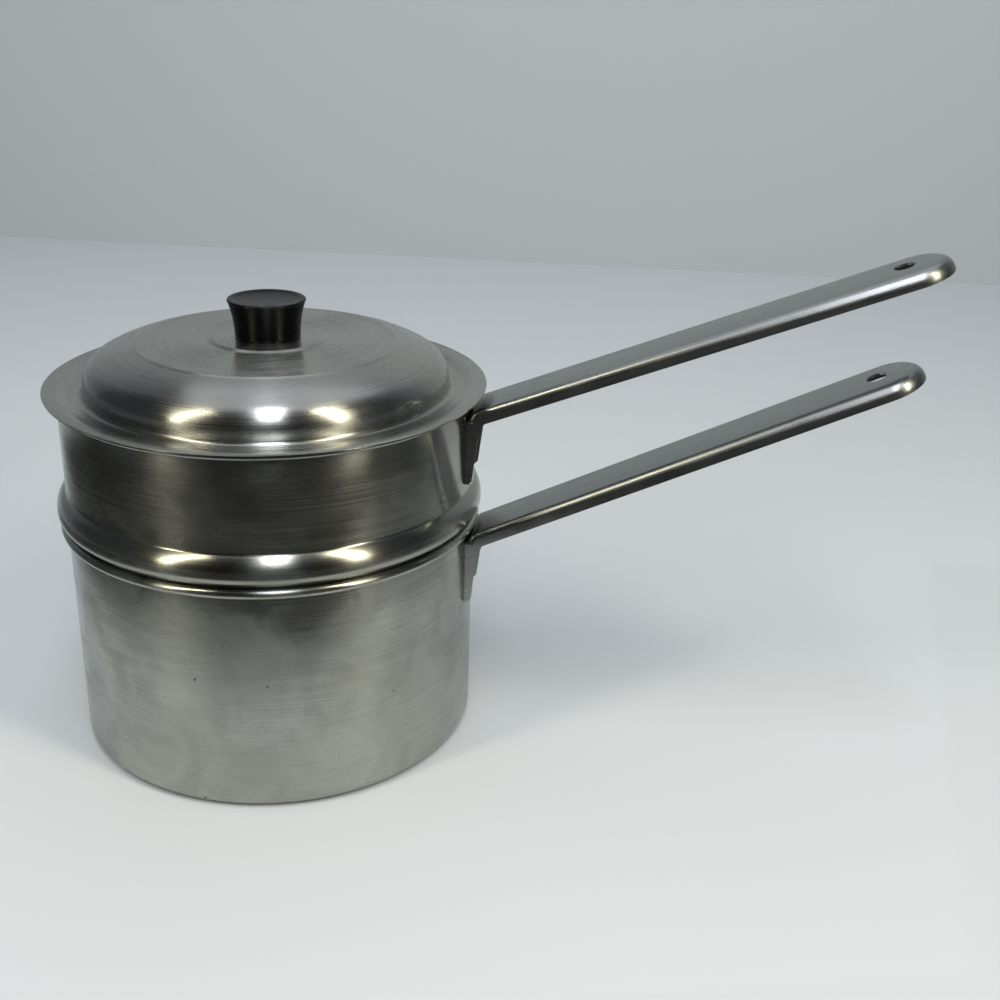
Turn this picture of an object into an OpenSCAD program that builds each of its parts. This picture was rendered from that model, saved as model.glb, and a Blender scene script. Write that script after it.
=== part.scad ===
// Double boiler in stainless steel: a saucepan, an insert pan that hangs in
// the saucepan's mouth, and a domed lid with a black knob. The origin is the
// centre of the saucepan's underside, +Z is up, and both handles point
// along +X.

/* [Saucepan] */
// Outside radius of the saucepan's wall
pan_r = 83.3; // [82.8:0.1:83.6]
// Height of the centre of the saucepan's rolled rim
pan_rim_z = 94.4; // [90:0.1:100]
// Radius of the rolled rim's section
pan_rim_r = 1.9; // [1.8:0.05:2]
// Outside radius between the wall and the bottom
pan_corner_r = 5; // [3:0.5:8]
// Drop from the centre of the saucepan's rim to where its handle leaves the wall
pan_handle_drop = 8.3; // [8:0.1:14]
// Rise of the saucepan's handle above level, in degrees
pan_handle_rise = 25.2; // [15:0.1:28]

/* [Insert] */
// Step in from the saucepan's wall to the insert's straight upper wall
insert_step = 0.5; // [0.3:0.1:0.7]
// Height of the insert's rim above the saucepan's rim, centre to centre
insert_rise = 52.6; // [50:0.1:60]
// Radius of the rolled rim's section
insert_rim_r = 1.4; // [1.3:0.05:1.5]
// Height of the crease above the swelling above the centre of the saucepan's rim
crease_rise = 14.9; // [14:0.1:16]
// How far the swelling stands out from the insert's straight wall
swell_out = 4; // [3.2:0.1:4.7]
// Radius of the swelling's rounded lower edge
swell_edge_r = 4; // [3.5:0.1:4.5]
// Clearance between the well, just below its seat, and the saucepan's wall
well_gap = 1.3; // [1.1:0.1:1.9]
// Step in of the well's wall from the seat down to its foot
well_taper = 1.6; // [0.8:0.1:3.2]
// Depth of the well's underside below the centre of the saucepan's rim
well_depth = 30.4; // [20:0.1:55]
// Outside radius between the well's wall and its bottom
well_corner_r = 9; // [6:0.5:12]
// Drop from the centre of the insert's rim to where its handle leaves the wall
insert_handle_drop = 7.9; // [7.5:0.1:12]
// Rise of the insert's handle above level, in degrees
insert_handle_rise = 21.6; // [15:0.1:28]

/* [Lid] */
// How far the lid's trimmed edge stands out from the insert's wall
lid_reach = 5.2; // [3.2:0.1:6.2]
// Clearance between the trough's outer side and the inside of the insert's wall
trough_gap = 0.5; // [0.3:0.1:1.5]
// Rise of the flange from the trough's side to the edge
flange_rise = 0.8; // [0.4:0.1:1.2]
// Depth of the trough below the flange
trough_depth = 1.5; // [1:0.1:2]
// Width from the flange's inner edge to the dome's upright foot
trough_w = 8.7; // [8:0.1:10.5]
// Radius of the rounded edge of the dome
dome_edge_r = 11; // [9:0.5:12]
// Radius of the dome's shallow crown
dome_crown_r = 50; // [48:1:54]
// Width of the dome's rounded part, from its foot in to the flatter top
dome_band = 19.9; // [18.5:0.1:22]
// Radius of the raised boss under the knob
boss_r = 22.6; // [20:0.1:25]

/* [Handles] */
// Length of a handle from its bend to its outer end
handle_len = 186.5; // [160:0.5:200]
// Width of a handle at its bend
handle_root_w = 24.3; // [20:0.1:26]
// Width of a handle at its outer end
handle_end_w = 30; // [27:0.1:32]
// Depth of a handle's turned down sides
handle_depth = 6; // [5:0.1:6.2]
// Radius along the top edges at the outer end
end_shoulder_r = 4.9; // [3:0.1:5]
// Radius along the top edges at the bend
root_shoulder_r = 2.5; // [1.5:0.1:3]
// Inside radius of the bend down to the wall, at the sides' lower edges
bend_inside_r = 0.4; // [0.2:0.1:1.5]
// Clearance between the insert's welded tab and the crease below it
tab_gap = 0.5; // [0.2:0.1:6]
// Width of the lips turned in along the sides' lower edges
lip_w = 4; // [2.5:0.1:5]
// Plain length of the channel before the lips begin
lip_start = 14; // [8:1:25]
// Plain length of the channel beyond the lips
lip_end = 30; // [24:1:40]
// Diameter of the hanging hole
hole_d = 8; // [6:0.5:10]
// Distance of the hanging hole's centre from the outer end
hole_from_end = 17.3; // [15:0.1:22]

/* [Knob] */
// Height of the knob
knob_h = 15.3; // [13:0.1:20]
// Radius of the knob's foot
knob_foot_r = 13; // [11:0.1:15]
// Radius of the knob's concave side
knob_flare_r = 45; // [42:1:80]
// Rounding of the knob's top edge
knob_edge_r = 0.8; // [0.5:0.1:1]
// Depth of the dish in the knob's top
knob_dish = 0.5; // [0.2:0.1:0.8]

/* [Sheet and fasteners] */
// Thickness of the pans' sheet
sheet = 0.8; // [0.6:0.05:0.9]
// Thickness of the lid's sheet
lid_sheet = 0.7; // [0.6:0.05:0.8]
// Thickness of the handles' sheet
handle_sheet = 0.9; // [0.7:0.05:1]
// Radius of the knob's screw
screw_r = 2.5; // [2:0.1:2.6]
// Length of the screw inside the knob's sleeve
screw_grip = 8; // [6:0.5:9]
// Outside radius of the sleeve
sleeve_r = 4; // [3.5:0.1:5]
// Length of the sleeve
sleeve_len = 10; // [9:0.5:11]
// Gap left where one pan or the lid rests on the rim below
seat_gap = 0.05; // [0:0.01:0.1]

/* [Hidden] */
$fn = 96;

steel = [0.72, 0.72, 0.71];
handle_steel = [0.66, 0.66, 0.66];
phenolic = [0.06, 0.06, 0.06];
brass = [0.75, 0.62, 0.35];

// Both pans and the lid take their radii and heights from the saucepan's
insert_r = pan_r - insert_step;
swell_r = insert_r + swell_out;
well_top_r = pan_r - sheet - well_gap;
well_foot_r = well_top_r - well_taper;
lid_r = insert_r + lid_reach;
flange_in_r = insert_r - sheet - trough_gap;
dome_r = flange_in_r - trough_w;
step_r = dome_r - dome_band;
insert_rim_z = pan_rim_z + insert_rise;
crease_z = pan_rim_z + crease_rise;
well_z = pan_rim_z - well_depth;
pan_handle_z = pan_rim_z - pan_handle_drop;
insert_handle_z = insert_rim_z - insert_handle_drop;
bend_r = handle_depth + bend_inside_r;
tab_len = insert_handle_z - crease_z - tab_gap;

// A rolled rim's centre stands out so that its inner side passes the sheet
pan_curl_r = pan_r + pan_rim_r - sheet - 0.3;
insert_curl_r = insert_r + insert_rim_r - sheet - 0.7;

// The seat is a 45 degree cone that touches the saucepan's rolled rim
seat_r = pan_curl_r - pan_rim_r * sin(45);
seat_z = pan_rim_z + pan_rim_r * cos(45) + seat_gap;
swell_in_r = swell_r - swell_edge_r;
swell_z = seat_z + swell_in_r - seat_r + swell_edge_r * (cos(45) + sin(45));
// The swelling's upper side is an arc from its widest place to the crease
swell_rise = crease_z - swell_z;
swell_top_r = (swell_rise * swell_rise + swell_out * swell_out) / (2 * swell_out);

flange_z = insert_rim_z + insert_rim_r + lid_sheet + seat_gap
    - flange_rise * (insert_curl_r - flange_in_r) / (lid_r - flange_in_r) + 0.01;
trough_z = flange_z - trough_depth;
trough_r = flange_in_r - 2.3;
fillet_r = 2;
dome_z = trough_z + 3.5;
dome_turn = 62;
crown = [dome_r - dome_edge_r, dome_z] - (dome_crown_r - dome_edge_r) * [cos(dome_turn), sin(dome_turn)];
crown_end = acos((step_r - crown[0]) / dome_crown_r);
step_z = crown[1] + dome_crown_r * sin(crown_end);
boss_z = step_z + 1.9;

end_c = handle_len - handle_end_w / 2;
washer_t = 1;
lock_t = 1.2;
head_h = 3;
head_r = 4.5;
washer_z = boss_z - lid_sheet - washer_t;
lock_z = washer_z - lock_t;

// Points of an arc about c from angle a0 to angle a1
function arc(c, r, a0, a1, n = 8) =
    [for (i = [0:n]) let (a = a0 + (a1 - a0) * i / n) c + r * [cos(a), sin(a)]];

// Unit vector to the left of the line from p to q
function left_of(p, q) = [p[1] - q[1], q[0] - p[0]] / norm(q - p);

// Point i of a path moved t to the left, mitred between its two sides
function shifted(path, i, t) =
    let (
        last = len(path) - 1,
        a = left_of(path[max(i - 1, 0)], path[max(i, 1)]),
        b = left_of(path[min(i, last - 1)], path[min(i + 1, last)]),
        m = a + b
    )
    path[i] + 2 * t * m / (m * m);

// Outline of sheet t thick whose right hand face follows a path
function sheet_outline(path, t) =
    concat(path, [for (i = [len(path) - 1:-1:0]) shifted(path, i, t)]);

// Half of a handle's width at x along it
function half_width(x) =
    (handle_root_w + (handle_end_w - handle_root_w) * x / end_c) / 2;

// Upper half of a handle's cross-section: width across, z down to the depth
function channel_path(w, depth, shoulder) =
    concat(
        [[-w / 2, -depth]],
        arc([-w / 2 + shoulder, -shoulder], shoulder, 180, 90, 6),
        arc([w / 2 - shoulder, -shoulder], shoulder, 90, 0, 6),
        [[w / 2, -depth]]
    );

// Sheet spun round the vertical axis
module spun_sheet(path, t) {
    rotate_extrude() polygon(sheet_outline(path, t));
}

// Edge of the sheet rolled outwards into a tube, open towards the wall below
module rolled_rim(centre_r, z, section_r) {
    rotate_extrude() translate([centre_r, z]) difference() {
        circle(r = section_r, $fn = 48);
        circle(r = section_r - sheet * 0.8, $fn = 48);
        polygon([[0, 0], 2 * section_r * [cos(208), sin(208)], [-1, -3 * section_r],
            2 * section_r * [cos(262), sin(262)]]);
    }
}

// Solid shape of a handle's channel, from the bend to the rounded outer end,
// inset all round. It starts a little before x = 0, so that it joins the bend.
module channel_block(inset) {
    depth = handle_depth + inset;
    hull() {
        translate([end_c, 0, -inset]) rotate_extrude($fn = 40)
            polygon(concat(
                [[0, 0]],
                [[0, -depth]],
                [[handle_end_w / 2 - inset, -depth]],
                arc(
                    [handle_end_w / 2 - end_shoulder_r, inset - end_shoulder_r],
                    end_shoulder_r - inset, 0, 90, 6
                )
            ));
        translate([-0.2 - inset / 2, 0, -inset]) rotate([90, 0, 90]) linear_extrude(0.01)
            polygon(channel_path(handle_root_w - 2 * inset, depth, root_shoulder_r - inset));
    }
}

// Straight part of a handle: a hollow channel with turned in lips and a hole
module straight_channel() {
    difference() {
        channel_block(0);
        channel_block(handle_sheet);
        translate([handle_len - hole_from_end, 0, -2 * handle_sheet])
            cylinder(d = hole_d, h = 3 * handle_sheet);
    }
    for (side = [-1, 1]) scale([1, side, 1])
        translate([0, 0, -handle_depth]) linear_extrude(handle_sheet)
            polygon([
                [lip_start, half_width(lip_start) - handle_sheet / 2],
                [handle_len - lip_end, half_width(handle_len - lip_end) - handle_sheet / 2],
                [handle_len - lip_end - lip_w, half_width(handle_len - lip_end) - lip_w],
                [lip_start + lip_w, half_width(lip_start) - lip_w]
            ]);
}

// Bend between the straight channel and the tab, about a crosswise axis
module channel_bend(rise) {
    rotate([90, 0, 0]) rotate([0, 0, 90 + rise]) rotate_extrude(angle = 90 - rise)
        polygon([
            for (p = sheet_outline(channel_path(handle_root_w, handle_depth, root_shoulder_r),
                -handle_sheet)) [bend_r + p[1], p[0]]
        ]);
}

// Tab curved to a wall of radius wall_r, hanging from just above z = 0, with
// its two flanges that taper away and four spot welds
module welded_tab(wall_r) {
    edge = handle_root_w / 2;
    foot_r = 17;
    lap = 0.3;
    difference() {
        intersection() {
            translate([0, 0, -tab_len]) cylinder(r = wall_r + handle_sheet, h = tab_len + lap);
            translate([0, 0, foot_r - tab_len]) rotate([0, 90, 0]) union() {
                cylinder(r = foot_r, h = 2 * wall_r);
                translate([-2 * foot_r, -foot_r, 0]) cube([2 * foot_r, 2 * foot_r, 2 * wall_r]);
            }
            translate([0, -edge, -tab_len]) cube([2 * wall_r, 2 * edge, tab_len + lap]);
        }
        translate([0, 0, -tab_len - 1]) cylinder(r = wall_r, h = tab_len + 2);
        for (y = [-1, 1], z = [8, 20])
            rotate([0, 0, 4 * y]) translate([wall_r + handle_sheet - 0.25, 0, -z])
                rotate([0, 90, 0]) cylinder(d = 4, h = 2);
    }
    difference() {
        for (side = [-1, 1])
            translate([0, side * (edge - handle_sheet / 2) + handle_sheet / 2, 0])
                rotate([90, 0, 0]) linear_extrude(handle_sheet) polygon([
                    [wall_r - 2, lap],
                    [wall_r + handle_depth, lap],
                    [wall_r + 4, -5],
                    [wall_r + 2.8, -15],
                    [wall_r + 1.6, 5 - tab_len],
                    [wall_r + 0.2, 3.6 - tab_len],
                    [wall_r - 2, 3.6 - tab_len]
                ]);
        translate([0, 0, -tab_len - 1]) cylinder(r = wall_r, h = tab_len + 2);
    }
}

// One handle on a wall of radius wall_r, leaving it at height z
module handle(wall_r, z, rise) {
    translate([0, 0, z]) {
        welded_tab(wall_r);
        translate([wall_r + bend_r, 0, 0]) {
            channel_bend(rise);
            rotate([0, -rise, 0]) translate([0, 0, bend_r]) straight_channel();
        }
    }
}

module lower_pan() {
    color(steel) {
        spun_sheet(concat(
            [[0, 0]],
            arc([pan_r - pan_corner_r, pan_corner_r], pan_corner_r, -90, 0),
            [[pan_r, pan_rim_z - 0.5]]
        ), sheet);
        rolled_rim(pan_curl_r, pan_rim_z, pan_rim_r);
    }
}

module lower_handle() {
    color(handle_steel) handle(pan_r, pan_handle_z, pan_handle_rise);
}

module upper_pan() {
    color(steel) {
        spun_sheet(concat(
            [[0, well_z]],
            arc([well_foot_r - well_corner_r, well_z + well_corner_r], well_corner_r, -90, 0),
            [[well_top_r, seat_z - (seat_r - well_top_r)]],
            arc([swell_in_r, swell_z], swell_edge_r, -45, 0, 6),
            arc([swell_r - swell_top_r, swell_z], swell_top_r,
                asin(swell_rise / swell_top_r) / 8, asin(swell_rise / swell_top_r), 7),
            [[insert_r, insert_rim_z - 0.4]]
        ), sheet);
        rolled_rim(insert_curl_r, insert_rim_z, insert_rim_r);
    }
}

module upper_handle() {
    color(handle_steel) handle(insert_r, insert_handle_z, insert_handle_rise);
}

module lid() {
    color(steel) difference() {
        spun_sheet(concat(
            [[lid_r, flange_z + flange_rise]],
            [[flange_in_r, flange_z]],
            [[trough_r, trough_z + 0.4]],
            arc([dome_r + fillet_r, trough_z + fillet_r], fillet_r, -80, -180, 6),
            arc([dome_r - dome_edge_r, dome_z], dome_edge_r, 0, dome_turn, 9),
            arc(crown, dome_crown_r, dome_turn + 3, crown_end, 4),
            [[step_r - 1.3, step_z + 0.4]],
            [[boss_r + 2, boss_z - 0.4]],
            [[boss_r, boss_z]],
            [[0, boss_z]]
        ), lid_sheet);
        translate([0, 0, boss_z - 2]) cylinder(r = screw_r + 0.4, h = 4);
    }
}

module knob() {
    top_r = knob_foot_r + knob_flare_r - sqrt(knob_flare_r * knob_flare_r
        - (knob_h - knob_edge_r) * (knob_h - knob_edge_r));
    flare_end = asin((knob_h - knob_edge_r) / knob_flare_r);
    color(phenolic) translate([0, 0, boss_z]) difference() {
        rotate_extrude() polygon(concat(
            [[0, 0]],
            arc([knob_foot_r + knob_flare_r, 0], knob_flare_r, 180, 180 - flare_end),
            arc([top_r - knob_edge_r + 0.2, knob_h - knob_edge_r], knob_edge_r, 0, 90, 4),
            [[top_r - 3.2, knob_h - knob_dish]],
            [[0, knob_h - knob_dish]]
        ));
        translate([0, 0, -1]) cylinder(r = sleeve_r, h = sleeve_len + 1);
    }
}

module knob_insert() {
    color(brass) translate([0, 0, boss_z]) difference() {
        cylinder(r = sleeve_r, h = sleeve_len);
        translate([0, 0, -1]) cylinder(r = screw_r, h = sleeve_len + 2);
    }
}

module knob_screw() {
    slot = [5, 1, 1.5];
    color(steel) difference() {
        union() {
            translate([0, 0, lock_z - head_h]) rotate_extrude() polygon(concat(
                [[0, 0], [head_r - 1.5, 0]],
                arc([head_r - 1.5, 1.5], 1.5, -70, 0, 5),
                [[head_r, head_h], [0, head_h]]
            ));
            translate([0, 0, lock_z - 0.5])
                cylinder(r = screw_r, h = boss_z + screw_grip - lock_z + 0.5);
        }
        for (turn = [0, 90]) rotate([0, 0, turn])
            translate([-slot[0] / 2, -slot[1] / 2, lock_z - head_h - 0.01]) cube(slot);
    }
}

module knob_washer() {
    color(steel) translate([0, 0, washer_z]) difference() {
        cylinder(r = 5.5, h = washer_t);
        translate([0, 0, -1]) cylinder(r = screw_r + 0.25, h = washer_t + 2);
    }
}

module knob_lock_washer() {
    color(steel) translate([0, 0, lock_z]) difference() {
        cylinder(r = 4.3, h = lock_t);
        translate([0, 0, -1]) cylinder(r = screw_r + 0.15, h = lock_t + 2);
        rotate([20, 0, 0]) translate([0, -0.4, -3]) cube([6, 0.8, 8]);
    }
}

lower_pan();
lower_handle();
upper_pan();
upper_handle();
lid();
knob();
knob_insert();
knob_screw();
knob_washer();
knob_lock_washer();
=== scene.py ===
"""Looks of the double boiler: spun steel pans, a domed lid, channel handles and a black knob."""

import logging
import math
from dataclasses import dataclass
from enum import Enum

import bpy
from mathutils import Euler, Matrix, Vector


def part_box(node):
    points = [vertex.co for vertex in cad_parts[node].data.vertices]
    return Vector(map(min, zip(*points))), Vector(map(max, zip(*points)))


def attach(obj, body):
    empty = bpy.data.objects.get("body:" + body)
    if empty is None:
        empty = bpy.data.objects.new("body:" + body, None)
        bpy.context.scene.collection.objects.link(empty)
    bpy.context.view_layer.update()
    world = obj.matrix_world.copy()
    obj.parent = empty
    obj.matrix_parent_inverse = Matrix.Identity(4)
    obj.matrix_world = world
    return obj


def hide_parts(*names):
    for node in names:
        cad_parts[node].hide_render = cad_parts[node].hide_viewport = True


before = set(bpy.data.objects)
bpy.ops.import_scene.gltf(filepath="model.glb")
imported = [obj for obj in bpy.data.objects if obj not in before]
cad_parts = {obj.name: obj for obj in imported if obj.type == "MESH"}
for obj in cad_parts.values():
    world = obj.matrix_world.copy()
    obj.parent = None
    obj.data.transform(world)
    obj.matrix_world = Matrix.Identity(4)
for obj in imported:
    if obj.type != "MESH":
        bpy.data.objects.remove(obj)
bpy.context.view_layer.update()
MM = 0.001
Point = tuple[float, float]
log = logging.getLogger("double_boiler")

# Faces that meet at a smaller angle than this, in degrees, are shaded as one surface
SMOOTH_BELOW = 38
# Points of a spun piece that lie closer than this, in metres, become one
SEAM = 0.000004
# A rolled rim ends here on its circle, in degrees, just past its lowest point
CURL_END = -98
# The shader counts a whole turn of the highlight as 1
QUARTER_TURN = 0.25
# Most values of a noise texture lie between these two
NOISE_BAND = (0.3, 0.7)
# Rays that pass by a card which is there for reflections only
UNSEEN_BY = ("visible_camera", "visible_diffuse", "visible_shadow")
# Each handle with its body and the degrees that it climbs
HANDLES = (("lower_handle", "saucepan", 25.2), ("upper_handle", "insert", 21.6))


def linear(hex_colour: str) -> tuple[float, float, float, float]:
    """Turns an sRGB colour into the linear values that a shader takes.

    Args:
        hex_colour: Six hex digits, such as "C8C8C4".

    Returns:
        Red, green, blue and alpha.
    """
    parts = [int(hex_colour[i : i + 2], 16) / 255 for i in (0, 2, 4)]
    curve = [c / 12.92 if c <= 0.04045 else ((c + 0.055) / 1.055) ** 2.4 for c in parts]
    return (*curve, 1.0)


def add_node(
    tree: bpy.types.NodeTree, kind: str, settings: dict | None = None, links: dict | None = None
) -> bpy.types.Node:
    """Adds a node with its settings and links.

    Args:
        tree: The node tree that takes it.
        kind: The node's type name.
        settings: Property or input names with their values.
        links: Input names or numbers with the output that feeds each.

    Returns:
        The new node.
    """
    made = tree.nodes.new(kind)
    for key, value in (settings or {}).items():
        if isinstance(key, int) or key in made.inputs:
            made.inputs[key].default_value = value
        else:
            setattr(made, key, value)
    for key, output in (links or {}).items():
        tree.links.new(output, made.inputs[key])
    return made


def empty_material(name: str) -> bpy.types.Material:
    """Makes a material whose node tree is empty.

    Args:
        name: The material's name.

    Returns:
        The new material.
    """
    made = bpy.data.materials.new(name)
    made.use_nodes = True
    made.node_tree.nodes.clear()
    return made


def map_range(
    tree: bpy.types.NodeTree, value: bpy.types.NodeSocket, given: Point, wanted: Point
) -> bpy.types.NodeSocket:
    """Stretches one range of values over another and holds what lies outside at its ends.

    Args:
        tree: The node tree.
        value: The values that come in.
        given: The range that they have.
        wanted: The range that they get.

    Returns:
        The values in their new range.
    """
    made = add_node(
        tree,
        "ShaderNodeMapRange",
        {"From Min": given[0], "From Max": given[1], "To Min": wanted[0], "To Max": wanted[1]},
        {"Value": value},
    )
    return made.outputs[0]


def noise(
    tree: bpy.types.NodeTree, place: bpy.types.NodeSocket, size_mm: float, detail: float, warp: float = 0.0
) -> bpy.types.NodeSocket:
    """Adds a cloudy pattern.

    Args:
        tree: The material's node tree.
        place: The coordinates.
        size_mm: The size of its clouds, in millimetres.
        detail: How many finer layers it has.
        warp: How far its clouds are pulled out of shape.

    Returns:
        The pattern's values.
    """
    made = add_node(
        tree,
        "ShaderNodeTexNoise",
        {"Scale": 1 / (size_mm * MM), "Detail": detail, "Distortion": warp},
        {"Vector": place},
    )
    return made.outputs["Fac"]


def darkened(
    tree: bpy.types.NodeTree, colour: bpy.types.NodeSocket, share: bpy.types.NodeSocket
) -> bpy.types.NodeSocket:
    """Keeps a share of a colour's brightness.

    Args:
        tree: The material's node tree.
        colour: The colour.
        share: How much of it stays, from 0 to 1.

    Returns:
        The darker colour.
    """
    made = add_node(tree, "ShaderNodeVectorMath", {"operation": "SCALE"}, {0: colour, "Scale": share})
    return made.outputs[0]


class Grain(Enum):
    """Which way the fine polishing lines run."""

    ROUND = "round the pan's axis"
    LONG = "along the handle"


@dataclass(frozen=True)
class PolishedSteel:
    """Stainless steel with fine polishing lines, kitchen wear and soft smudges.

    Attributes:
        name: The material's name.
        colour: Its colour between the lines, as hex digits.
        rough: Its mean roughness.
        grain: Which way the lines run.
        line_mm: Spacing of the lines.
        line_depth_mm: How deep they look.
        line_shade: How bright the darkest line would be beside the steel.
        along_per_m: How often a line along a handle changes in a metre.
        streak: How much the lines change the roughness.
        anisotropy: How far the lines stretch a highlight.
        smudge: How much the smudges change the roughness.
        smudge_mm: Their size.
        smudge_band: The noise values that they use.
        stain: How much a film from heat darkens the steel.
        stain_mm: Size of its clouds.
        stain_band: The noise values that it uses.
        pits: How dark the small pits are.
        pit_gap_mm: Spacing of the pits.
        pit_points: Share of the pits that are mere points.
        pit_size: Radius of the largest pit, as a share of the spacing.
        pit_edge: Width of a pit's soft edge, as a share of the spacing.
        rise: How many degrees the handle climbs.
    """

    name: str
    colour: str
    rough: float
    grain: Grain
    line_mm: float = 0.45
    line_depth_mm: float = 0.006
    line_shade: float = 0.68
    along_per_m: float = 14.0
    streak: float = 0.10
    anisotropy: float = 0.0
    smudge: float = 0.07
    smudge_mm: float = 22.0
    smudge_band: Point = (0.35, 0.7)
    stain: float = 0.0
    stain_mm: float = 34.0
    stain_band: Point = (0.38, 0.62)
    pits: float = 0.0
    pit_gap_mm: float = 9.0
    pit_points: float = 0.55
    pit_size: float = 0.08
    pit_edge: float = 0.03
    rise: float = 0.0

    def coordinates(self, tree: bpy.types.NodeTree) -> tuple[bpy.types.NodeSocket, bpy.types.NodeSocket]:
        """Builds the stretched coordinates that draw the polishing lines.

        Args:
            tree: The material's node tree.

        Returns:
            The vector and the fourth coordinate for a noise texture.
        """
        place = add_node(tree, "ShaderNodeTexCoord").outputs["Object"]
        per_line = 1 / (self.line_mm * MM)
        if self.grain is Grain.LONG:
            # The climbing handle is turned level first, so that the lines follow it
            level = add_node(
                tree,
                "ShaderNodeVectorRotate",
                {"rotation_type": "Y_AXIS", "Angle": math.radians(self.rise)},
                {"Vector": place},
            )
            drawn = add_node(
                tree,
                "ShaderNodeVectorMath",
                {"operation": "MULTIPLY", 1: (self.along_per_m, per_line, per_line)},
                {0: level.outputs[0]},
            )
            apart = add_node(tree, "ShaderNodeSeparateXYZ", links={0: drawn.outputs[0]})
            return drawn.outputs[0], apart.outputs["X"]
        # Radius and height set the lines, and the direction from the axis only varies them
        parts = add_node(tree, "ShaderNodeSeparateXYZ", links={0: place})
        flat = add_node(
            tree, "ShaderNodeCombineXYZ", links={"X": parts.outputs["X"], "Y": parts.outputs["Y"]}
        )
        radius = add_node(tree, "ShaderNodeVectorMath", {"operation": "LENGTH"}, {0: flat.outputs[0]})
        way = add_node(tree, "ShaderNodeVectorMath", {"operation": "NORMALIZE"}, {0: flat.outputs[0]})
        turned = add_node(tree, "ShaderNodeSeparateXYZ", links={0: way.outputs[0]})
        rings = add_node(
            tree, "ShaderNodeMath", {"operation": "MULTIPLY", 1: per_line}, {0: radius.outputs["Value"]}
        )
        level = add_node(
            tree, "ShaderNodeMath", {"operation": "MULTIPLY", 1: per_line}, {0: parts.outputs["Z"]}
        )
        joined = add_node(
            tree,
            "ShaderNodeCombineXYZ",
            links={"X": rings.outputs[0], "Y": turned.outputs["X"], "Z": turned.outputs["Y"]},
        )
        return joined.outputs[0], level.outputs[0]

    def tinted(self, tree: bpy.types.NodeTree, lines: bpy.types.NodeSocket) -> bpy.types.NodeSocket:
        """Darkens the steel along its lines.

        Args:
            tree: The material's node tree.
            lines: The pattern of the lines.

        Returns:
            The steel's colour.
        """
        tint = add_node(tree, "ShaderNodeMix", {"data_type": "RGBA"}, {0: lines})
        between, within = [s for s in tint.inputs if s.type == "RGBA"][:2]
        between.default_value = linear(self.colour)
        within.default_value = (*(c * self.line_shade for c in linear(self.colour)[:3]), 1.0)
        return next(s for s in tint.outputs if s.type == "RGBA")

    def stained(
        self, tree: bpy.types.NodeTree, place: bpy.types.NodeSocket, colour: bpy.types.NodeSocket
    ) -> bpy.types.NodeSocket:
        """Lays a thin cloudy film over the steel.

        Args:
            tree: The material's node tree.
            place: The coordinates.
            colour: The steel's colour.

        Returns:
            The colour under the film.
        """
        cloud = noise(tree, place, self.stain_mm, detail=5.0, warp=1.6)
        return darkened(tree, colour, map_range(tree, cloud, self.stain_band, (1 - self.stain, 1.0)))

    def pitted(
        self, tree: bpy.types.NodeTree, place: bpy.types.NodeSocket, colour: bpy.types.NodeSocket
    ) -> bpy.types.NodeSocket:
        """Scatters small dark pits over the steel.

        Args:
            tree: The material's node tree.
            place: The coordinates.
            colour: The steel's colour.

        Returns:
            The colour with its pits.
        """
        spots = add_node(
            tree,
            "ShaderNodeTexVoronoi",
            {"Scale": 1 / (self.pit_gap_mm * MM), "Randomness": 1.0},
            {"Vector": place},
        )
        chance = add_node(tree, "ShaderNodeSeparateXYZ", links={0: spots.outputs["Color"]})
        size = map_range(tree, chance.outputs["X"], (self.pit_points, 1.0), (0.0, self.pit_size))
        reach = add_node(
            tree, "ShaderNodeMath", {"operation": "SUBTRACT"}, {0: spots.outputs["Distance"], 1: size}
        )
        share = map_range(tree, reach.outputs[0], (0.0, self.pit_edge), (1 - self.pits, 1.0))
        return darkened(tree, colour, share)

    def roughness(
        self, tree: bpy.types.NodeTree, place: bpy.types.NodeSocket, lines: bpy.types.NodeSocket
    ) -> bpy.types.NodeSocket:
        """Adds up the roughness of the lines and the smudges.

        Args:
            tree: The material's node tree.
            place: The coordinates.
            lines: The pattern of the lines.

        Returns:
            The roughness.
        """
        smudges = noise(tree, place, self.smudge_mm, detail=4.0, warp=0.6)
        limits = (self.rough - self.smudge, self.rough + self.smudge)
        made = add_node(
            tree,
            "ShaderNodeMath",
            {"operation": "ADD", "use_clamp": True},
            {
                0: map_range(tree, lines, NOISE_BAND, (-self.streak, self.streak)),
                1: map_range(tree, smudges, self.smudge_band, limits),
            },
        )
        return made.outputs[0]

    def build(self) -> bpy.types.Material:
        """Makes the material.

        Returns:
            The finished material.
        """
        made = empty_material(self.name)
        tree = made.node_tree
        vector, fourth = self.coordinates(tree)
        drawn = add_node(
            tree,
            "ShaderNodeTexNoise",
            {"noise_dimensions": "4D", "Scale": 1.0, "Detail": 3.0, "Roughness": 0.6},
            {"Vector": vector, "W": fourth},
        )
        lines = drawn.outputs["Fac"]
        place = add_node(tree, "ShaderNodeTexCoord").outputs["Object"]
        colour = self.tinted(tree, lines)
        if self.stain:
            colour = self.stained(tree, place, colour)
        if self.pits:
            colour = self.pitted(tree, place, colour)
        bump = add_node(
            tree, "ShaderNodeBump", {"Strength": 1.0, "Distance": self.line_depth_mm * MM}, {"Height": lines}
        )
        rough = self.roughness(tree, place, lines)
        shine = add_node(
            tree,
            "ShaderNodeBsdfPrincipled",
            {"Metallic": 1.0, "Anisotropic": self.anisotropy},
            {"Base Color": colour, "Roughness": rough, "Normal": bump.outputs[0]},
        )
        if self.grain is Grain.ROUND:
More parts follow.
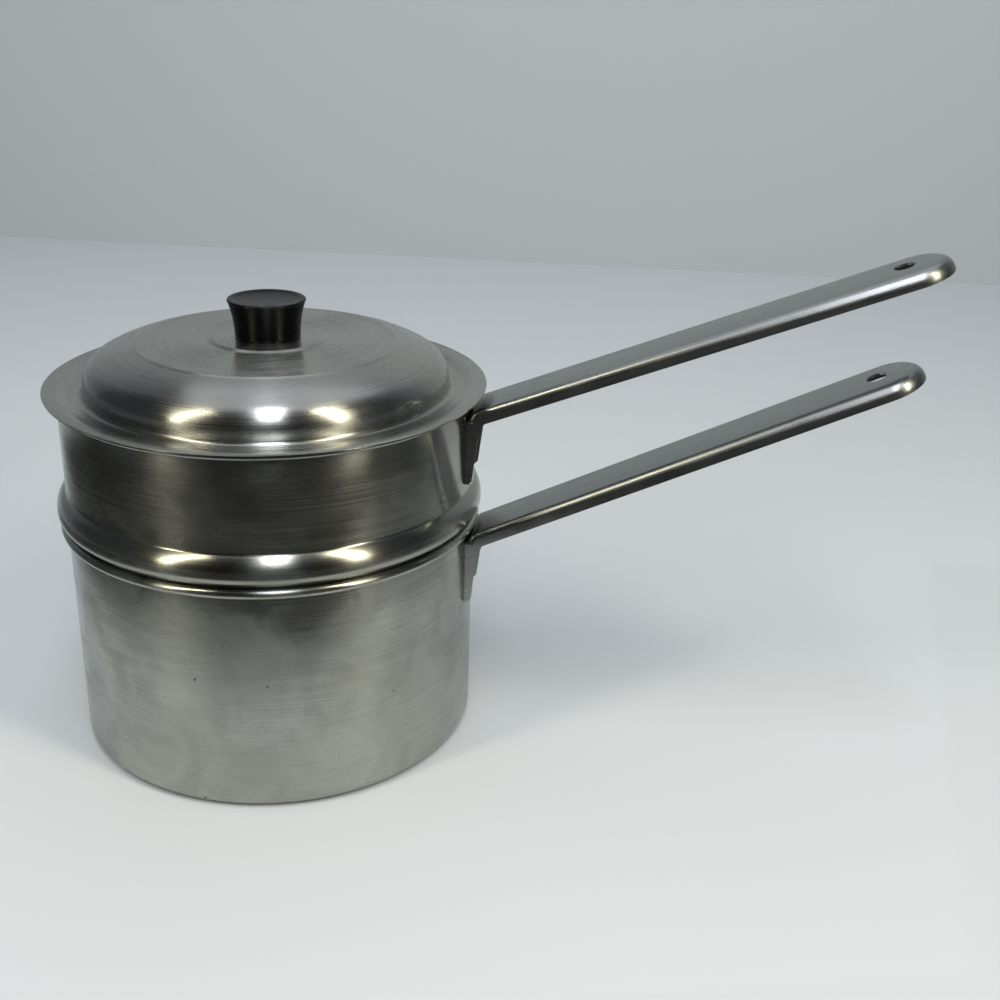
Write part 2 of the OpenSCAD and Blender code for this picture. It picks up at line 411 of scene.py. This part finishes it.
            # A quarter turn stretches the highlights across the lines, not along them
            around = add_node(tree, "ShaderNodeTangent", {"direction_type": "RADIAL", "axis": "Z"})
            tree.links.new(around.outputs[0], shine.inputs["Tangent"])
            shine.inputs["Anisotropic Rotation"].default_value = QUARTER_TURN
        add_node(tree, "ShaderNodeOutputMaterial", links={"Surface": shine.outputs[0]})
        return made


@dataclass(frozen=True)
class Moulded:
    """Moulded phenolic with a soft sheen and a faint grain from the mould.

    Attributes:
        name: The material's name.
        colour: Its colour as hex digits.
        rough: Its roughness without the grain.
        sheen: How strongly it reflects at a right angle.
        grain_mm: Size of the grain.
        grain_depth_mm: How deep the grain looks.
        grain_rough: The least and the most that the grain adds to the roughness.
    """

    name: str
    colour: str
    rough: float
    sheen: float = 0.15
    grain_mm: float = 0.8
    grain_depth_mm: float = 0.008
    grain_rough: Point = (-0.08, 0.12)

    def build(self) -> bpy.types.Material:
        """Makes the material.

        Returns:
            The finished material.
        """
        made = empty_material(self.name)
        tree = made.node_tree
        place = add_node(tree, "ShaderNodeTexCoord").outputs["Object"]
        skin = noise(tree, place, self.grain_mm, detail=4.0)
        limits = (self.rough + self.grain_rough[0], self.rough + self.grain_rough[1])
        bump = add_node(
            tree, "ShaderNodeBump", {"Strength": 0.5, "Distance": self.grain_depth_mm * MM}, {"Height": skin}
        )
        shine = add_node(
            tree,
            "ShaderNodeBsdfPrincipled",
            {"Base Color": linear(self.colour), "Specular IOR Level": self.sheen},
            {"Roughness": map_range(tree, skin, NOISE_BAND, limits), "Normal": bump.outputs[0]},
        )
        add_node(tree, "ShaderNodeOutputMaterial", links={"Surface": shine.outputs[0]})
        return made


@dataclass(frozen=True)
class Plain:
    """A plain matt surface for the table, the wall behind and the dark cards.

    Attributes:
        name: The material's name.
        colour: Its colour as hex digits.
        rough: Its roughness.
    """

    name: str
    colour: str
    rough: float = 0.6

    def build(self) -> bpy.types.Material:
        """Makes the material.

        Returns:
            The finished material.
        """
        made = bpy.data.materials.new(self.name)
        made.use_nodes = True
        shine = made.node_tree.nodes["Principled BSDF"]
        shine.inputs["Base Color"].default_value = linear(self.colour)
        shine.inputs["Roughness"].default_value = self.rough
        return made


def arc(centre: Point, radius: float, start: float, end: float, steps: int) -> list[Point]:
    """Points of an arc, in millimetres and degrees.

    Args:
        centre: The arc's centre.
        radius: Its radius.
        start: The first angle.
        end: The last angle.
        steps: How many chords it has.

    Returns:
        The points, both ends included.
    """
    turns = [math.radians(start + (end - start) * i / steps) for i in range(steps + 1)]
    return [(centre[0] + radius * math.cos(a), centre[1] + radius * math.sin(a)) for a in turns]


def sheet_outline(path: list[Point], thick: float) -> list[Point]:
    """Outline of sheet metal that has one face on a path.

    Args:
        path: The points of one face.
        thick: How far the other face lies to the left of the path.

    Returns:
        The path, then the other face back to its start.
    """
    points = [Vector(p) for p in path]
    other: list[Point] = []
    for i, here in enumerate(points):
        before = (points[max(i, 1)] - points[max(i - 1, 0)]).normalized()
        after = (points[min(i + 1, len(points) - 1)] - points[min(i, len(points) - 2)]).normalized()
        mitre = Vector((-before.y - after.y, before.x + after.x))
        other.append(tuple(here + mitre * (2 * thick / mitre.length_squared)))
    return list(path) + other[::-1]


def spun(name: str, outline: list[Point], steps: int = 192) -> bpy.types.Object:
    """Draws an outline edge by edge and spins it round the vertical axis.

    Args:
        name: The new piece's name.
        outline: Radius and height of each corner, in millimetres.
        steps: How many sides the round has.

    Returns:
        The finished piece.
    """
    bpy.ops.object.select_all(action="DESELECT")
    bpy.ops.mesh.primitive_plane_add(size=1, location=(0, 0, 0))
    made = bpy.context.object
    made.name = name
    made.data.name = name
    bpy.ops.object.mode_set(mode="EDIT")
    bpy.ops.mesh.select_all(action="SELECT")
    bpy.ops.mesh.merge(type="CENTER")
    radius, height = outline[0]
    bpy.ops.transform.translate(value=(radius * MM, 0, height * MM))
    for before, after in zip(outline, outline[1:]):
        step = ((after[0] - before[0]) * MM, 0, (after[1] - before[1]) * MM)
        bpy.ops.mesh.extrude_region_move(TRANSFORM_OT_translate={"value": step})
    bpy.ops.mesh.select_all(action="SELECT")
    bpy.ops.mesh.spin(steps=steps, angle=math.tau, center=(0, 0, 0), axis=(0, 0, 1))
    bpy.ops.mesh.select_all(action="SELECT")
    bpy.ops.mesh.remove_doubles(threshold=SEAM)
    bpy.ops.mesh.normals_make_consistent(inside=False)
    bpy.ops.object.mode_set(mode="OBJECT")
    bpy.ops.object.shade_smooth_by_angle(angle=math.radians(SMOOTH_BELOW))
    return made


def dress(piece: bpy.types.Object, material: bpy.types.Material) -> None:
    """Gives a piece its material and logs its name, faces and material.

    Args:
        piece: The piece.
        material: Its finish.
    """
    piece.data.materials.clear()
    piece.data.materials.append(material)
    log.info("%s: %d faces, %s", piece.name, len(piece.data.polygons), material.name)


@dataclass
class Saucepan:
    """The lower pan. Sizes are in millimetres.

    Attributes:
        wall_r: Outer radius of the wall.
        corner_r: Outer radius of the bend from bottom to wall.
        rim_z: Height of the middle of the rolled rim.
        rim_r: Outer radius of the roll.
        rim_inset: How far the roll is drawn in towards the wall.
        sheet: Thickness of the steel.
    """

    wall_r: float = 83.3
    corner_r: float = 5.0
    rim_z: float = 94.4
    rim_r: float = 1.9
    rim_inset: float = 0.3
    sheet: float = 0.8

    def outline(self) -> list[Point]:
        """Draws the section of the pan's sheet.

        Returns:
            The points from the axis to the rolled rim and back.
        """
        curl = (self.wall_r + self.rim_r - self.sheet - self.rim_inset, self.rim_z)
        path = [(0.0, 0.0), (self.wall_r * 0.5, 0.0)]
        path += arc((self.wall_r - self.corner_r, self.corner_r), self.corner_r, -90, 0, 14)
        # Two corners on the straight wall keep its faces from growing too long
        path += [(self.wall_r, z) for z in (30.0, 60.0, self.rim_z - 3)]
        path += arc(curl, self.rim_r - self.sheet, 180, CURL_END, 26)
        return sheet_outline(path, self.sheet)

    def build(self, steel: bpy.types.Material) -> None:
        """Builds the pan and sets it on its body.

        Args:
            steel: The pan's finish.
        """
        piece = spun("saucepan_shell", self.outline())
        dress(piece, steel)
        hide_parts("lower_pan")
        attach(piece, "saucepan")


@dataclass
class Insert:
    """The upper pan, with its swelling and well. Sizes are in millimetres.

    Attributes:
        wall_r: Outer radius of the straight wall.
        rim_z: Height of the middle of the rolled rim.
        rim_r: Outer radius of the roll.
        rim_inset: How far the roll is drawn in towards the wall.
        crease_z: Height where the swelling meets the wall.
        swell_r: Largest radius of the swelling.
        edge_r: Radius of its round lower edge.
        well_top_r: Outer radius of the well below the cone.
        well_foot_r: Outer radius of the well at its bottom.
        well_z: Height of the well's bottom.
        well_corner_r: Radius of the bend round its bottom.
        sheet: Thickness of the steel.
        seat: Radius and height of a point on the 45 degree cone that the saucepan's rim carries.
    """

    wall_r: float = 82.8
    rim_z: float = 147.0
    rim_r: float = 1.4
    rim_inset: float = 0.7
    crease_z: float = 109.3
    swell_r: float = 86.8
    edge_r: float = 4.0
    well_top_r: float = 81.2
    well_foot_r: float = 79.6
    well_z: float = 64.0
    well_corner_r: float = 9.0
    sheet: float = 0.8
    seat: Point = (82.7565, 95.7935)

    def outline(self) -> list[Point]:
        """Draws the section of the insert's sheet.

        Returns:
            The points from the axis to the rolled rim and back.
        """
        inner = self.swell_r - self.edge_r
        swell_z = self.seat[1] + inner - self.seat[0] + self.edge_r * math.sqrt(2)
        rise = self.crease_z - swell_z
        out = self.swell_r - self.wall_r
        top_r = (rise * rise + out * out) / (2 * out)
        turn = math.degrees(math.asin(rise / top_r))
        corner = (self.well_foot_r - self.well_corner_r, self.well_z + self.well_corner_r)
        curl = (self.wall_r + self.rim_r - self.sheet - self.rim_inset, self.rim_z)
        path = [(0.0, self.well_z), (self.well_foot_r * 0.5, self.well_z)]
        path += arc(corner, self.well_corner_r, -90, 0, 16)
        path += [(self.well_top_r, self.seat[1] - self.seat[0] + self.well_top_r)]
        # The swelling: a tight round below, then a wide arc up to the crease
        path += arc((inner, swell_z), self.edge_r, -45, 0, 12)
        path += arc((self.swell_r - top_r, swell_z), top_r, turn / 12, turn - 2.5, 11)
        # The crease is a small bend, not a knife edge
        path += [(self.wall_r + 0.35, self.crease_z - 0.15), (self.wall_r + 0.05, self.crease_z + 0.25)]
        path += [(self.wall_r, z) for z in (self.crease_z + 0.9, 120.0, 132.0, self.rim_z - 2.6)]
        path += arc(curl, self.rim_r - self.sheet, 180, CURL_END, 22)
        return sheet_outline(path, self.sheet)

    def build(self, steel: bpy.types.Material) -> None:
        """Builds the insert and sets it on its body.

        Args:
            steel: The insert's finish.
        """
        piece = spun("insert_shell", self.outline())
        dress(piece, steel)
        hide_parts("upper_pan")
        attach(piece, "insert")


@dataclass
class Lid:
    """The lid with its flange, trough, dome and boss. Sizes are in millimetres.

    Attributes:
        edge_r: Radius of the trimmed edge.
        flange_r: Radius where the flange starts.
        flange_z: Height of the flange's upper face there.
        flange_rise: How far the flange climbs to its edge.
        trough_depth: Depth of the trough below the flange.
        trough_r: Radius of the bend from dome to trough.
        dome_r: Radius of the dome's foot.
        dome_foot: Height above the trough where the dome's side is upright.
        dome_edge_r: Radius of the dome's round edge.
        crown_r: Radius of the flatter arc above it.
        dome_turn: Angle at which the two arcs meet, in degrees.
        step_r: Radius of the small ring at the top of the dome.
        boss_r: Radius of the raised boss under the knob.
        boss_rise: Height of the boss above the ring's foot.
        sheet: Thickness of the steel.
        drawn_share: Share of that thickness that is drawn, which keeps the underside off the insert.
        boss: Steps out from boss_r and down from the boss, into a shallow groove and out of it.
        ring: Steps in from step_r and up, over the small ring.
        side: Steps in from flange_r and up from the trough, along its outer side.
    """

    edge_r: float = 88.0
    flange_r: float = 81.5
    flange_z: float = 149.028
    flange_rise: float = 0.8
    trough_depth: float = 1.5
    trough_r: float = 2.0
    dome_r: float = 72.8
    dome_foot: float = 3.5
    dome_edge_r: float = 11.0
    crown_r: float = 50.0
    dome_turn: float = 62.0
    step_r: float = 52.9
    boss_r: float = 22.6
    boss_rise: float = 1.9
    sheet: float = 0.7
    drawn_share: float = 0.9
    boss: tuple[Point, ...] = (
        (-1.2, 0.0),
        (-0.3, -0.03),
        (0.1, -0.16),
        (1.0, -0.74),
        (1.5, -0.84),
        (2.4, -0.72),
    )
    ring: tuple[Point, ...] = ((-3.4, 0.42), (-2.4, 0.44), (-1.6, 0.52), (-1.0, 0.42), (-0.5, 0.13))
    side: tuple[Point, ...] = ((-3.2, 0.12), (-2.3, 0.4), (-1.2, 0.95))

    def outline(self) -> list[Point]:
        """Draws the section of the lid's sheet.

        Returns:
            The points from the axis to the trimmed edge and back.
        """
        edge_z = self.flange_z + self.flange_rise
        trough_z = self.flange_z - self.trough_depth
        dome_z = trough_z + self.dome_foot
        turn = math.radians(self.dome_turn)
        reach = self.crown_r - self.dome_edge_r
        crown = (self.dome_r - self.dome_edge_r - reach * math.cos(turn), dome_z - reach * math.sin(turn))
        last = math.degrees(math.acos((self.step_r - crown[0]) / self.crown_r))
        step_z = crown[1] + self.crown_r * math.sin(math.radians(last))
        boss_z = step_z + self.boss_rise
        path = [(0.0, boss_z)]
        path += [(self.boss_r + out, boss_z + up) for out, up in self.boss]
        # The flatter top falls gently to the ring
        path += [(30.0, boss_z - 0.72), (40.0, boss_z - 1.02)]
        path += [(self.step_r + out, step_z + up) for out, up in self.ring]
        # The upper arc stops 2 degrees before the lower one starts, so that no corner is doubled
        path += arc(crown, self.crown_r, last, self.dome_turn + 2, 12)
        path += arc((self.dome_r - self.dome_edge_r, dome_z), self.dome_edge_r, self.dome_turn, 0, 20)
        path += arc((self.dome_r + self.trough_r, trough_z + self.trough_r), self.trough_r, -180, -80, 10)
        path += [(self.flange_r + out, trough_z + up) for out, up in self.side]
        path += [(self.flange_r - 0.3, self.flange_z - 0.1), (self.flange_r + 0.5, self.flange_z + 0.08)]
        # The trimmed edge is eased
        path += [(self.edge_r - 0.3, edge_z - 0.03), (self.edge_r, edge_z - 0.12)]
        return sheet_outline(path, -self.sheet * self.drawn_share)

    def build(self, steel: bpy.types.Material) -> None:
        """Builds the lid and sets it on its body.

        Args:
            steel: The lid's finish.
        """
        piece = spun("lid_shell", self.outline(), steps=224)
        dress(piece, steel)
        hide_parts("lid")
        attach(piece, "cover")


@dataclass
class Knob:
    """The black knob. Sizes are in millimetres.

    Attributes:
        foot_r: Radius of the foot.
        flare_r: Radius of the hollow side.
        height: Height from foot to top.
        edge_r: Radius of the round upper edge.
        dish: Depth of the dished top.
    """

    foot_r: float = 13.0
    flare_r: float = 45.0
    height: float = 15.3
    edge_r: float = 0.8
    dish: float = 0.5

    def outline(self) -> list[Point]:
        """Draws half the section of the knob.

        Returns:
            The points from its foot to its dished top.
        """
        foot_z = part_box("knob")[0][2] / MM
        reach = self.height - self.edge_r
        top_r = self.foot_r + self.flare_r - math.sqrt(self.flare_r**2 - reach**2)
        turn = math.degrees(math.asin(reach / self.flare_r))
        # The foot is eased, then the side flares in one hollow arc
        path = [(0.0, 0.0), (self.foot_r - 0.4, 0.0)]
        path += arc((self.foot_r + self.flare_r, 0.0), self.flare_r, 179.3, 180 - turn, 20)
        path += arc((top_r - self.edge_r + 0.2, reach), self.edge_r, 10, 90, 7)
        # A narrow flat ring stays round the dish
        path += [(top_r - 2.4, self.height - 0.05), (top_r - 3.0, self.height - 0.35)]
        path += [(top_r - 3.6, self.height - self.dish), (0.0, self.height - self.dish)]
        return [(r, z + foot_z) for r, z in path]

    def build(self, black: bpy.types.Material) -> None:
        """Builds the knob and sets it on its body.

        Args:
            black: The knob's finish.
        """
        piece = spun("knob_shell", self.outline(), steps=128)
        dress(piece, black)
        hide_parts("knob")
        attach(piece, "cover")


@dataclass
class Handle:
    """One welded channel handle, taken from its solid with its small facets smoothed.

    Attributes:
        node: The CAD node that it stands for.
        body: The body that it rides on.
        weld: Points closer than this become one, in metres.
        flat_below: Faces that meet at a smaller angle than this become one, in degrees.
        smooth_below: Faces that meet at a smaller angle are shaded as one surface, in degrees.
    """

    node: str
    body: str
    weld: float = 0.00001
    flat_below: float = 0.6
    smooth_below: float = 32.0

    def build(self, steel: bpy.types.Material) -> None:
        """Builds the handle and sets it on its body.

        Args:
            steel: The handle's finish.
        """
        bpy.ops.object.select_all(action="DESELECT")
        piece = bpy.data.objects.new(f"{self.node}_shell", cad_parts[self.node].data.copy())
        bpy.context.collection.objects.link(piece)
        bpy.context.view_layer.objects.active = piece
        piece.select_set(True)
        bpy.ops.mesh.customdata_custom_splitnormals_clear()
        bpy.ops.object.mode_set(mode="EDIT")
        bpy.ops.mesh.select_all(action="SELECT")
        bpy.ops.mesh.remove_doubles(threshold=self.weld)
        bpy.ops.mesh.dissolve_limited(angle_limit=math.radians(self.flat_below))
        bpy.ops.mesh.normals_make_consistent(inside=False)
        bpy.ops.object.mode_set(mode="OBJECT")
        bpy.ops.object.shade_smooth_by_angle(angle=math.radians(self.smooth_below))
        dress(piece, steel)
        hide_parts(self.node)
        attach(piece, self.body)


@dataclass(frozen=True)
class Lamp:
    """A soft panel of light that faces the pan.

    Attributes:
        name: Its name.
        angle: Its direction from the pan, in degrees from +X.
        level: Its angle above the floor, in degrees.
        distance: How far it is from the pan, in metres.
        size: Its width and height, in metres.
        watts: Its power.
        colour: Its colour as hex digits.
        aim_z: Height of the point that it faces, in metres.
    """

    name: str
    angle: float
    level: float
    distance: float
    size: Point
    watts: float
    colour: str
    aim_z: float = 0.1

    def hang(self) -> None:
        """Hangs the panel in its place."""
        way, high = math.radians(self.angle), math.radians(self.level)
        out = Vector((math.cos(way) * math.cos(high), math.sin(way) * math.cos(high), math.sin(high)))
        bpy.ops.object.light_add(type="AREA", location=out * self.distance + Vector((0, 0, self.aim_z)))
        made = bpy.context.object
        made.name = self.name
        made.rotation_euler = out.to_track_quat("Z", "Y").to_euler()
        made.data.shape = "RECTANGLE"
        made.data.size, made.data.size_y = self.size
        made.data.energy = self.watts
        made.data.color = linear(self.colour)[:3]


@dataclass
class Studio:
    """Plain table and wall, dark cards, soft panels of light, and the camera at the photo's angle.

    Attributes:
        camera_at: The camera's place, in metres.
        camera_yaw: Its turn from +Y towards +X, in degrees.
        camera_pitch: Its turn upwards, in degrees.
        camera_roll: Its turn about its own view, in degrees.
        lens: Its focal length, in millimetres.
        sensor: Width of its sensor, in millimetres.
        near: The nearest distance that it sees, in metres.
        floor_z: Height of the table, a hair below the pan so that their faces don't meet.
        wall_y: How far the wall stands behind the pan, in metres.
        room_y: How far the dark card for the wall's reflections stands in front, in metres.
        sky_on_table: Strength of the surrounding light on the table and the wall.
        sky_in_steel: Its strength where the steel reflects it, as among dark furniture.
    """

    camera_at: tuple[float, float, float] = (0.1331, -0.4768, 0.3035)
    camera_yaw: float = -4.54
    camera_pitch: float = -22.8
    camera_roll: float = 1.83
    lens: float = 45.0
    sensor: float = 36.0
    near: float = 0.01
    floor_z: float = -0.0002
    wall_y: float = 0.95
    room_y: float = -1.9
    sky_on_table: float = 0.55
    sky_in_steel: float = 0.12

    def camera(self) -> None:
        """Places the camera."""
        yaw, pitch, roll = (math.radians(v) for v in (self.camera_yaw, self.camera_pitch, self.camera_roll))
        ahead = Vector((math.sin(yaw) * math.cos(pitch), math.cos(yaw) * math.cos(pitch), math.sin(pitch)))
        right = Vector((math.cos(yaw), -math.sin(yaw), 0))
        up = right.cross(ahead)
        tilted_right = right * math.cos(roll) + up * math.sin(roll)
        tilted_up = up * math.cos(roll) - right * math.sin(roll)
        bpy.ops.object.camera_add(location=self.camera_at)
        made = bpy.context.object
        made.rotation_euler = Matrix((tilted_right, tilted_up, -ahead)).transposed().to_euler()
        made.data.lens = self.lens
        made.data.sensor_width = self.sensor
        made.data.clip_start = self.near
        bpy.context.scene.camera = made

    def plane(
        self, name: str, at: Vector, turn: Euler, size: Point, look: bpy.types.Material
    ) -> bpy.types.Object:
        """Adds a flat sheet that belongs to the stage.

        Args:
            name: Its name.
            at: Its centre, in metres.
            turn: Its rotation.
            size: Width and height, in metres.
            look: Its material.

        Returns:
            The sheet.
        """
        bpy.ops.mesh.primitive_plane_add(size=1, location=at, rotation=turn)
        made = bpy.context.object
        made.name = name
        made.scale = (size[0], size[1], 1)
        made.data.materials.append(look)
        return made

    def card(self, name: str, at: Vector, turn: Euler, size: Point, black: bpy.types.Material) -> None:
        """Adds a dark card that shows only in reflections.

        Args:
            name: Its name.
            at: Its centre, in metres.
            turn: Its rotation.
            size: Width and height, in metres.
            black: Its material.
        """
        made = self.plane(name, at, turn, size, black)
        for ray in UNSEEN_BY:
            setattr(made, ray, False)

    def flag(self, name: str, angle: float, distance: float, size: Point, black: bpy.types.Material) -> None:
        """Lays a dark card on the table.

        Args:
            name: Its name.
            angle: Its direction from the pan, in degrees from +X.
            distance: How far its middle is from the pan, in metres.
            size: Length away from the pan and width, in metres.
            black: Its material.
        """
        way = math.radians(angle)
        at = Vector((math.cos(way) * distance, math.sin(way) * distance, 0.001))
        self.card(name, at, Euler((0, 0, way)), size, black)

    def sky(self) -> None:
        """Adds the surrounding light, which the steel sees darker than the table does."""
        world = bpy.data.worlds.new("studio")
        world.use_nodes = True
        tree = world.node_tree
        light = tree.nodes["Background"]
        light.inputs["Color"].default_value = linear("AEB6BE")
        rays = add_node(tree, "ShaderNodeLightPath")
        strengths = (self.sky_on_table, self.sky_in_steel)
        strength = map_range(tree, rays.outputs["Is Glossy Ray"], (0.0, 1.0), strengths)
        tree.links.new(strength, light.inputs["Strength"])
        bpy.context.scene.world = world

    def build(self) -> None:
        """Builds the table and wall, the dark cards, the lights, the sky and the camera."""
        floor = Plain("matt painted table", "CFD3D8").build()
        wall = Plain("matt painted wall", "BFC4C8").build()
        black = Plain("black card", "050505", 0.9).build()
        upright = Euler((math.pi / 2, 0, 0))
        self.plane("floor", Vector((0, 0, self.floor_z)), Euler((0, 0, 0)), (6, 6), floor)
        self.plane("backdrop", Vector((0, self.wall_y, 1.0)), upright, (6, 3), wall)
        # The pans' walls reflect these instead of the pale table, which keeps them dark
        self.flag("front_flag", -78, 0.72, (1.06, 1.2), black)
        self.flag("left_flag", -158, 0.67, (0.9, 0.7), black)
        self.flag("right_flag", -10, 0.74, (0.9, 0.5), black)
        self.card("dark_room", Vector((0, self.room_y, 0.9)), upright, (5, 2.4), black)
        # The middle one of three narrow lights on the dome and the swelling
        Lamp("key_overhead", -76, 60, 1.3, (0.24, 1.1), 7, "F4F8FF").hang()
        # The warmer lights on both sides of it
        Lamp("left_panel", -132, 38, 1.2, (0.14, 1.0), 5, "FFF8DC").hang()
        Lamp("right_panel", -32, 38, 1.2, (0.18, 1.0), 7, "FFF8DC").hang()
        # Broad light from above for the lid's top and the soft shadow
        Lamp("top_fill", 90, 80, 1.6, (1.6, 1.6), 6.5, "F2F6FF").hang()
        self.sky()
        bpy.context.scene.view_settings.view_transform = "Standard"
        self.camera()


def main() -> None:
    """Builds every piece, then the studio."""
    logging.basicConfig(level=logging.INFO, format="%(message)s")
    # Turned on a lathe: its rings stretch each light into a patch that runs up the dome
    lid_steel = PolishedSteel(
        "stainless steel, lathe polished lid",
        "B0B0AB",
        0.27,
        Grain.ROUND,
        anisotropy=0.84,
        streak=0.07,
        smudge=0.05,
    )
    # Polished brighter: the wall reads dark, with pale upright streaks
    insert_steel = PolishedSteel(
        "stainless steel, bright polished insert",
        "A8A8A0",
        0.24,
        Grain.ROUND,
        anisotropy=0.87,
        streak=0.05,
        smudge=0.04,
    )
    # Worn on the stove: a faint film and small pits break up the paler wall
    pan_steel = PolishedSteel(
        "stainless steel, worn saucepan",
        "B8B9B2",
        0.28,
        Grain.ROUND,
        anisotropy=0.8,
        streak=0.05,
        pits=0.75,
        stain=0.16,
    )
    # Near black with a low sheen: only soft edges of light show on the knob
    black = Moulded("black moulded phenolic", "040505", 0.28)
    # Plain bright metal with highlights that aren't stretched
    screw_steel = PolishedSteel("stainless steel, plain fastener", "BDBDBA", 0.3, Grain.ROUND).build()
    # Warm yellow metal, hidden inside the knob
    brass = PolishedSteel("turned brass sleeve", "C9A25A", 0.3, Grain.ROUND).build()
    Saucepan().build(pan_steel.build())
    Insert().build(insert_steel.build())
    Lid().build(lid_steel.build())
    Knob().build(black.build())
    for name, body, rise in HANDLES:
        # Satin lines along the handle: a grey top with one clean light along its edge
        satin = PolishedSteel(
            f"stainless steel, satin {name}",
            "A2A4A3",
            0.3,
            Grain.LONG,
            line_mm=0.5,
            streak=0.05,
            smudge=0.03,
            rise=rise,
        )
        Handle(name, body).build(satin.build())
    for name in ("knob_screw", "knob_washer", "knob_lock_washer"):
        dress(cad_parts[name], screw_steel)
    dress(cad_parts["knob_insert"], brass)
    Studio().build()


if __name__ == "__main__":
    main()
